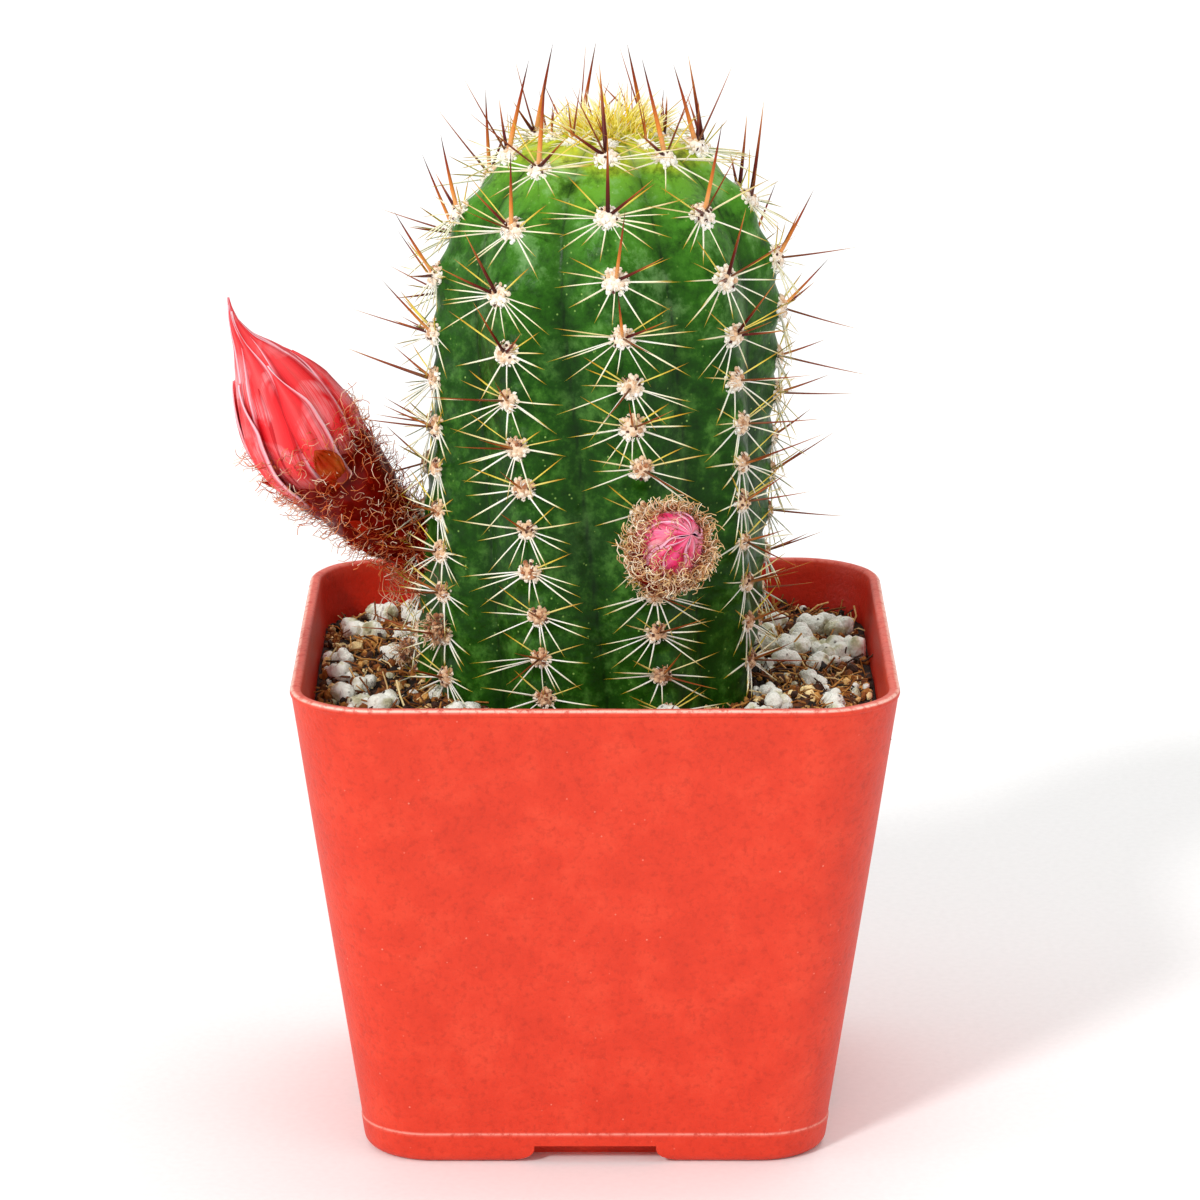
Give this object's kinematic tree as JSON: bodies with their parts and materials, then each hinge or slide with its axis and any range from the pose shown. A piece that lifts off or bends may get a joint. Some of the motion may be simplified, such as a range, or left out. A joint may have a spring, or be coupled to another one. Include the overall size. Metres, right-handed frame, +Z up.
{
  "type": "potted column cactus",
  "caption": "Short ribbed column cactus with spines, a furled coral flower bud and a small pink bud, in a tapered square red nursery pot with soil and pumice.",
  "frame": {"origin": "bottom centre of the whole plant and pot, on the surface it stands on", "axes": "+Z up; -Y is the front, where the small pink bud is; the large bud points to -X"},
  "size_m": [0.1004, 0.089, 0.162],
  "materials": {
    "pot_plastic": "satin moulded polypropylene",
    "soil_mix": "rough peat and bark",
    "stem_skin": "waxy green skin",
    "spine_horn": "smooth horn",
    "wool_yellow": "soft wool and bristles",
    "bud_hair": "curly hair",
    "tepal_coral": "satin petal",
    "tepal_pink": "satin petal",
    "pumice": "rough porous stone"
  },
  "bodies": {
    "root": {"pot": "pot_plastic", "soil": "soil_mix", "cactus_stem": "stem_skin", "crown_tuft": "wool_yellow", "large_bud_tube": "bud_hair", "large_bud_heart": "tepal_coral", "large_bud_tepal_1": "tepal_coral", "large_bud_tepal_2": "tepal_coral", "large_bud_tepal_3": "tepal_coral", "large_bud_tepal_4": "tepal_coral", "large_bud_tepal_5": "tepal_coral", "large_bud_tepal_6": "tepal_coral", "small_bud_cup": "bud_hair", "small_bud_heart": "tepal_pink", "small_bud_tepal_1": "tepal_pink", "small_bud_tepal_2": "tepal_pink", "small_bud_tepal_3": "tepal_pink", "small_bud_tepal_4": "tepal_pink", "withered_flower_left": "bud_hair", "withered_flower_under_bud": "bud_hair", "pumice_grain_01": "pumice", "pumice_grain_02": "pumice", "pumice_grain_03": "pumice", "pumice_grain_04": "pumice", "pumice_grain_05": "pumice", "pumice_grain_06": "pumice", "pumice_grain_07": "pumice", "pumice_grain_08": "pumice", "pumice_grain_09": "pumice", "pumice_grain_10": "pumice", "spine_cluster_1_1": "spine_horn", "spine_cluster_1_2": "spine_horn", "spine_cluster_1_3": "spine_horn", "spine_cluster_2_1": "spine_horn", "spine_cluster_2_2": "spine_horn", "spine_cluster_2_3": "spine_horn", "spine_cluster_3_1": "spine_horn", "spine_cluster_3_2": "spine_horn", "spine_cluster_3_3": "spine_horn", "spine_cluster_4_1": "spine_horn", "spine_cluster_4_2": "spine_horn", "spine_cluster_4_3": "spine_horn", "spine_cluster_5_1": "spine_horn", "spine_cluster_5_2": "spine_horn", "spine_cluster_5_3": "spine_horn", "spine_cluster_6_1": "spine_horn", "spine_cluster_6_2": "spine_horn", "spine_cluster_6_3": "spine_horn", "spine_cluster_7_1": "spine_horn", "spine_cluster_7_2": "spine_horn", "spine_cluster_7_3": "spine_horn", "spine_cluster_8_1": "spine_horn", "spine_cluster_8_2": "spine_horn", "spine_cluster_8_3": "spine_horn", "spine_cluster_9_1": "spine_horn", "spine_cluster_9_2": "spine_horn", "spine_cluster_9_3": "spine_horn"}
  },
  "joints": []
}
